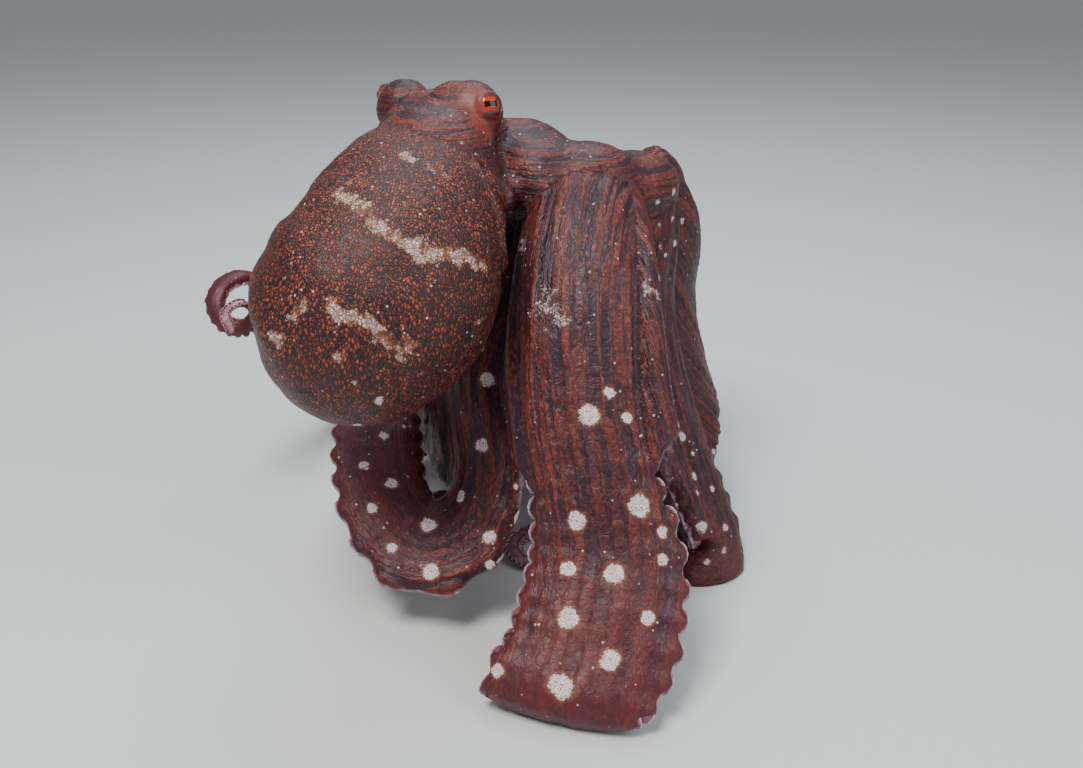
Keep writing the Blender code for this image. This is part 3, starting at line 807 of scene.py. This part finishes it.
for name, arm in arms.items():
    s = 0.05
    while s < arm.length * 0.93:
        for hand in (1, -1):
            centre, _, dorsal, lateral, low, high = arm.frame_at(s + chance.uniform(-0.004, 0.004))
            p = centre + lateral * (hand * 0.5 * low) + dorsal * (DORSAL_HEIGHT * arm.taper(s) * 0.86)
            hit = seen_skin.ray_cast(CAMERA_PLACE, (p - CAMERA_PLACE).normalized())[0]
            if hit is None or (hit - p).length > 0.02:
                spots.append((p, chance.uniform(0.0024, 0.0044) * (0.45 + 0.55 * arm.taper(s))))
        s += 0.030 * (0.4 + 0.6 * arm.taper(s))

bare = np.zeros(count)
for x, y, radius in BARE_SEEN:
    p = on_skin(x, y)
    if p is not None:
        away = np.linalg.norm(places - np.array(p), axis=1)
        bare = np.maximum(bare, np.clip(1.6 - away / (radius * PIXEL), 0, 1))

spot_tree = KDTree(len(spots))
for k, (p, _) in enumerate(spots):
    spot_tree.insert(p, k)
spot_tree.balance()
spot_near = np.full(count, FAR)
for i, p in enumerate(places):
    for _, k, distance in spot_tree.find_n(p, 3):
        spot_near[i] = min(spot_near[i], distance / spots[k][1])
line_near = np.full(count, FAR)
for x, y, radius in BROKEN_PATCHES:
    p = on_skin(x, y)
    if p is not None:
        away = np.linalg.norm(places - np.array(p), axis=1)
        line_near = np.minimum(line_near, away / (radius * PIXEL * PATCH_SHARE))
LINE_HALF_WIDTH = 0.0023
for line in MANTLE_LINES:
    line_near = np.minimum(line_near, away_from([on_skin(*point) for point in line]) / LINE_HALF_WIDTH)

for name, values in {
    "spot": spot_near, "line": line_near, "under": under, "fold": folds,
    "tips": smooth_tips, "mantle": (form == MANTLE_FORM).astype(float), "smooth": bare,
    "margin": margin * np.clip((along - SCALLOPS_FROM - 0.02) / 0.03, 0, 1) * (form == ARM_FORM),
}.items():
    mesh.attributes.new(name, "FLOAT", "POINT").data.foreach_set("value", values.astype(np.float32))
flow = np.stack([along, across, np.zeros(count)], axis=1).astype(np.float32)
mesh.attributes.new("flow", "FLOAT_VECTOR", "POINT").data.foreach_set("vector", flow.ravel())

# The furrows' near-black colour is the skin's own dark bluish tone deepened by painted shade
MANTLE_CREASE, ARM_CREASE, FURROW_TONE_AND_SHADE = (0.012, 0.004, 0.006), (0.012, 0.003, 0.007), (0.010, 0.004, 0.011)
BRICK_DARK, BRICK, BRICK_SHADE = (0.070, 0.010, 0.008), (0.42, 0.062, 0.016), (0.15, 0.022, 0.014)
# The darkest wrinkle colour is painted shade for the valleys of the displaced folds
WRINKLE_VALLEY_SHADE, RIDGE, RIDGE_RUST = (0.022, 0.004, 0.007), (0.165, 0.018, 0.012), (0.25, 0.040, 0.016)
# The bluish slate colour is a painted sheen, streaked over the ridges
BLUE_SHEEN, WINE = (0.030, 0.022, 0.045), (0.082, 0.010, 0.018)
BARE_DARK, BARE_RED = (0.10, 0.018, 0.016), (0.32, 0.055, 0.035)
LOWER_DARK, LOWER_PINK, MARGIN_LILAC = (0.22, 0.085, 0.11), (0.42, 0.25, 0.27), (0.50, 0.36, 0.42)
HALO, OCHRE = (0.34, 0.105, 0.030), (0.38, 0.14, 0.035)
CHALK_CRACK, CHALK = (0.30, 0.15, 0.12), (0.74, 0.68, 0.68)
MANTLE_CELLS, ARM_CELLS, CHALK_CELLS, FLECK_CELLS = 760, 700, 1000, 230
SWIRL = 0.0022

hide = Finish("skin", Roughness=0.4, Specular_IOR_Level=0.4)
place = hide.place()
flow = hide.attribute("flow", "Vector")
mantle, under, tips = (hide.attribute(name) for name in ("mantle", "under", "tips"))
spot, line, fold = (hide.attribute(name) for name in ("spot", "line", "fold"))
margin, smooth = (hide.attribute(name) for name in ("margin", "smooth"))

# Grains in place, a swirl that shakes the cells, and cells drawn out along the arms
speckle = hide.noise(place, 1100, 2.0)
broad = hide.noise(place, 38)
patchy = hide.noise(place, 170)
swirl = hide.node("ShaderNodeTexNoise", {}, {"Vector": place, "Scale": 260.0, "Detail": 2.0}, "Color")
swirl = hide.stretched(swirl, (SWIRL, SWIRL, SWIRL))
shaken = hide.shifted(place, swirl)
upright = hide.stretched(shaken, (1.0, 1.0, 0.55))
long_cells = hide.shifted(hide.stretched(flow, (0.38, 1.0, 1.0)), swirl)
crease = hide.noise(hide.stretched(flow, (0.05, 1.0, 1.0)), 480.0, 2.0).step(0.40, 0.54)
# The streaks that carry the painted bluish sheen
sheen_streaks = hide.noise(hide.stretched(flow, (0.14, 1.0, 1.0)), 75.0)
mantle_edge = hide.cells(upright, MANTLE_CELLS, "DISTANCE_TO_EDGE").step(0.03, 0.34)
mantle_tint = hide.cells(upright, MANTLE_CELLS, "F1", "Color")
arm_edge = hide.cells(long_cells, ARM_CELLS, "DISTANCE_TO_EDGE").step(0.0, 0.26)
tint = hide.node("ShaderNodeSeparateColor", {}, {0: mantle_tint})

# The mantle is a pavement of brick-red grains between black creases
brick = hide.mix(tint.step(0.1, 0.95), BRICK_DARK, BRICK)
brick = hide.mix(broad.step(0.38, 0.66) * 0.5, brick, BRICK_SHADE)
mantle_colour = hide.mix(mantle_edge, MANTLE_CREASE, brick)

# The arms and the web have dark red ridges, with painted shade in the valleys of their wrinkles and lighter
# crests, streaks of painted bluish sheen, near-black furrows where painted shade deepens the skin's own
# dark bluish tone, and plain wine-red tips
# Painted shade: darker down in the wrinkles' valleys and lighter on their crests, following the fold height
ridge = hide.mix(fold.step(0.10, 0.85), WRINKLE_VALLEY_SHADE, RIDGE)
ridge = hide.mix(tint.step(0.35, 0.95) * 0.5, ridge, RIDGE_RUST)
# Painted sheen: bluish streaks over the ridges' red
ridge = hide.mix(sheen_streaks.step(0.56, 0.74) * 0.55, ridge, BLUE_SHEEN)
arm_colour = hide.mix(arm_edge * 0.6 + 0.4, ARM_CREASE, ridge)
# Painted shade in the furrows, over the skin's own dark bluish tone
arm_colour = hide.mix((1 - crease) * (1 - tips) * 0.85, arm_colour, FURROW_TONE_AND_SHADE)
arm_colour = hide.mix(tips * 0.75, arm_colour, WINE)

# Round the eyes the skin is bare and redder, below it is pink, and the margins are lilac
skin_colour = hide.mix(mantle, arm_colour, mantle_colour)
skin_colour = hide.mix(smooth * 0.8, skin_colour, hide.mix(patchy, BARE_DARK, BARE_RED))
skin_colour = hide.mix(under, skin_colour, hide.mix(patchy.step(0.35, 0.7), LOWER_DARK, LOWER_PINK))
skin_colour = hide.mix(margin.step(0.978, 0.990) * 0.55, skin_colour, MARGIN_LILAC)

# The white marks are ragged and finely cracked, with rusty edges, and small flecks lie between them
cracks = hide.cells(shaken, CHALK_CELLS, "DISTANCE_TO_EDGE").step(0.02, 0.16)
ragged = (patchy - 0.5) * 1.6 + (speckle - 0.5) * 1.1
halo = (spot + ragged * 0.8).step(1.55, 0.95)
skin_colour = hide.mix(halo * 0.30, skin_colour, HALO)
round_white = (spot + ragged * 0.55).step(1.10, 0.86)
broken = (line + (patchy - 0.5) * 9.0 + (speckle - 0.5) * 4.0).step(1.0, 0.4) * (mantle_edge * 0.8 + 0.2)
ochre = (line + (patchy - 0.5) * 5.0).step(1.7, 0.7)
skin_colour = hide.mix(ochre * mantle * 0.35, skin_colour, OCHRE)
flecks = hide.cells(place, FLECK_CELLS).step(0.16, 0.10) * hide.noise(place, 120, 1.0).step(0.52, 0.60)
white = round_white.math("MAXIMUM", broken).math("MAXIMUM", flecks * 0.8)
hide.set(Base_Color=hide.mix(white, skin_colour, hide.mix(cracks, CHALK_CRACK, CHALK)))
hide.set(Roughness=0.36 + 0.25 * speckle)
rough_skin = mantle_edge * mantle * 0.9 + (arm_edge * 0.35 + crease * 0.8) * (1 - mantle) * (1 - tips * 0.7)
height = rough_skin * (1 - smooth) + speckle * 0.25
hide.set(Normal=hide.bump(height, 0.5, 0.0006))

# The fused surface is far finer than it needs to be where it is flat, so it is thinned out
lighter = bpy.data.objects.new("lighter", mesh)
bpy.context.scene.collection.objects.link(lighter)
MOST_TRIANGLES = 185000
lighten = lighter.modifiers.new("Lighten", "DECIMATE")
lighten.ratio = min(1.0, MOST_TRIANGLES / sum(len(f.vertices) - 2 for f in mesh.polygons))
lighten.use_collapse_triangulate = True
graph = bpy.context.evaluated_depsgraph_get()
mesh = bpy.data.meshes.new_from_object(lighter.evaluated_get(graph))
mesh.name = "octopus_skin"
bpy.data.objects.remove(lighter)
mesh.shade_smooth()
skin = add_piece("octopus_skin", mesh, hide)
flesh = [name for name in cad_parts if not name.startswith("eye_")]
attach(skin, "root")
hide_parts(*flesh)


# The suckers: soft muscular cups in two rows along each arm's lower side, growing to the arm's middle and
# then smaller to the tip. They stand at the arm's margins, so its edge looks scalloped from above. The
# profile runs from the middle of the cup over its rim to its foot, in shares of the radius.
SUCKER_SIDES = 12
SUCKER_PROFILE = (
    (0.0, 0.10), (0.34, 0.12), (0.52, 0.42), (0.80, 0.62), (1.0, 0.50), (0.98, 0.25), (0.72, -0.35),
)
SUCKER_GROUPS = {
    "suckers_front": ("right_3", "right_4", "right_2", "left_4"),
    "suckers_rear": ("right_1", "left_1", "left_2", "left_3"),
}
CUP_DARK, CUP_PINK, SUCKER_RIM = (0.085, 0.018, 0.030), (0.26, 0.090, 0.115), (0.66, 0.54, 0.60)
RIM_CLEAR = 0.0002


def add_sucker(bm, centre, outward, radius, rim_layer):
    """A cup of turned profile, whose open side looks outward."""
    turn = outward.to_track_quat("Z", "Y").to_matrix()
    previous = None
    hub = bm.verts.new(centre + turn @ Vector((0, 0, SUCKER_PROFILE[0][1] * radius)))
    hub[rim_layer] = 0.0
    for share, height in SUCKER_PROFILE[1:]:
        loop = []
        for k in range(SUCKER_SIDES):
            angle = 2 * math.pi * k / SUCKER_SIDES
            offset = Vector((share * math.cos(angle), share * math.sin(angle), height)) * radius
            loop.append(bm.verts.new(centre + turn @ offset))
            loop[-1][rim_layer] = 1.0 if share == 1.0 else 0.0
        for k in range(SUCKER_SIDES):
            after = (k + 1) % SUCKER_SIDES
            if previous is None:
                bm.faces.new((hub, loop[k], loop[after]))
            else:
                bm.faces.new((previous[k], loop[k], loop[after], previous[after]))
        previous = loop


sucker_finish = Finish("sucker", Roughness=0.35)
rim = sucker_finish.attribute("rim")
mottle = sucker_finish.noise(sucker_finish.place(), 420, 2.0)
cup = sucker_finish.mix(mottle, CUP_DARK, CUP_PINK)
sucker_finish.set(Base_Color=sucker_finish.mix(rim * mottle.step(0.2, 0.6), cup, SUCKER_RIM))
sucker_finish.set(Normal=sucker_finish.bump(mottle, 0.3, 0.0003))
for group, names in SUCKER_GROUPS.items():
    bm = bmesh.new()
    rim_layer = bm.verts.layers.float.new("rim")
    for arm in (arms[name] for name in names):
        for s, radius in arm.suckers:
            centre, _, dorsal, lateral, low, high = arm.frame_at(s)
            for hand, width in ((1, high), (-1, low)):
                broad_arm = min(1.0, max(0.0, (width / radius - 1.9) / 1.5))
                out = (lateral * (hand * (0.25 + 0.7 * broad_arm)) - dorsal).normalized()
                reach = max(width - radius * 0.80, radius * 1.02)
                depth = (ORAL_DEPTH - SUCKER_DEPTH) * arm.taper(s) * (0.85 - 0.55 * broad_arm)
                foot = centre + lateral * (hand * reach) - dorsal * depth
                foot.z = max(foot.z, radius * (0.25 + 0.5 * broad_arm) + SKIN_CLEAR)
                add_sucker(bm, foot, out, radius, rim_layer)
    for v in bm.verts:
        v.co.z = max(v.co.z, RIM_CLEAR)
    mesh = bpy.data.meshes.new(group)
    bm.to_mesh(mesh)
    bm.free()
    mesh.shade_smooth()
    made = add_piece(group, mesh, sucker_finish)
    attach(made, "root")


# The eyes: wet glossy balls held in the skin's lids, with a level black slit between orange-red crescents.
# The slit stays level however the head is held. Each ball knows where it looks by its own attribute, which
# is level across, upward and outward from 0 at the middle to 1 at the surface.
IRIS_DARK, IRIS, IRIS_EDGE = (0.26, 0.018, 0.008), (0.62, 0.085, 0.022), (0.09, 0.012, 0.012)
PUPIL = (0.004, 0.004, 0.005)
for side, centre in EYES.items():
    axis = EYE_FACES[side].normalized()
    bm = bmesh.new()
    bmesh.ops.create_uvsphere(bm, u_segments=64, v_segments=40, radius=EYE_RADIUS)
    bmesh.ops.translate(bm, vec=centre + STANCE, verts=bm.verts)
    mesh = bpy.data.meshes.new(f"eye_{side}")
    bm.to_mesh(mesh)
    bm.free()
    mesh.shade_smooth()
    level = Vector((0, 0, 1)).cross(axis).normalized()
    high = axis.cross(level)
    looks = np.array([
        [(v.co - centre - STANCE).dot(d) / EYE_RADIUS for d in (level, high, axis)] for v in mesh.vertices
    ], np.float32)
    mesh.attributes.new("look", "FLOAT_VECTOR", "POINT").data.foreach_set("vector", looks.ravel())
    eye_finish = Finish(f"eye_{side}", Roughness=0.10, Specular_IOR_Level=0.35)
    look = eye_finish.attribute("look", "Vector")
    aside, above = (
        eye_finish.node("ShaderNodeSeparateXYZ", {}, {0: look}, k).math("ABSOLUTE") for k in (0, 1)
    )
    slit = (above - aside * 0.10).step(0.17, 0.12) * aside.step(0.43, 0.38)
    fibres = eye_finish.noise(eye_finish.stretched(look, (3.0, 14.0, 3.0)), 3.0, 4.0)
    iris = eye_finish.mix(fibres.step(0.35, 0.7), IRIS_DARK, IRIS)
    iris = eye_finish.mix(above.step(0.30, 0.46) * 0.7, iris, IRIS_EDGE)
    eye_finish.set(Base_Color=eye_finish.mix(slit, iris, PUPIL))
    eye = add_piece(f"eyeball_{side}", mesh, eye_finish)
    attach(eye, "root")
    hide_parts(f"eye_{side}")

low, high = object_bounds()
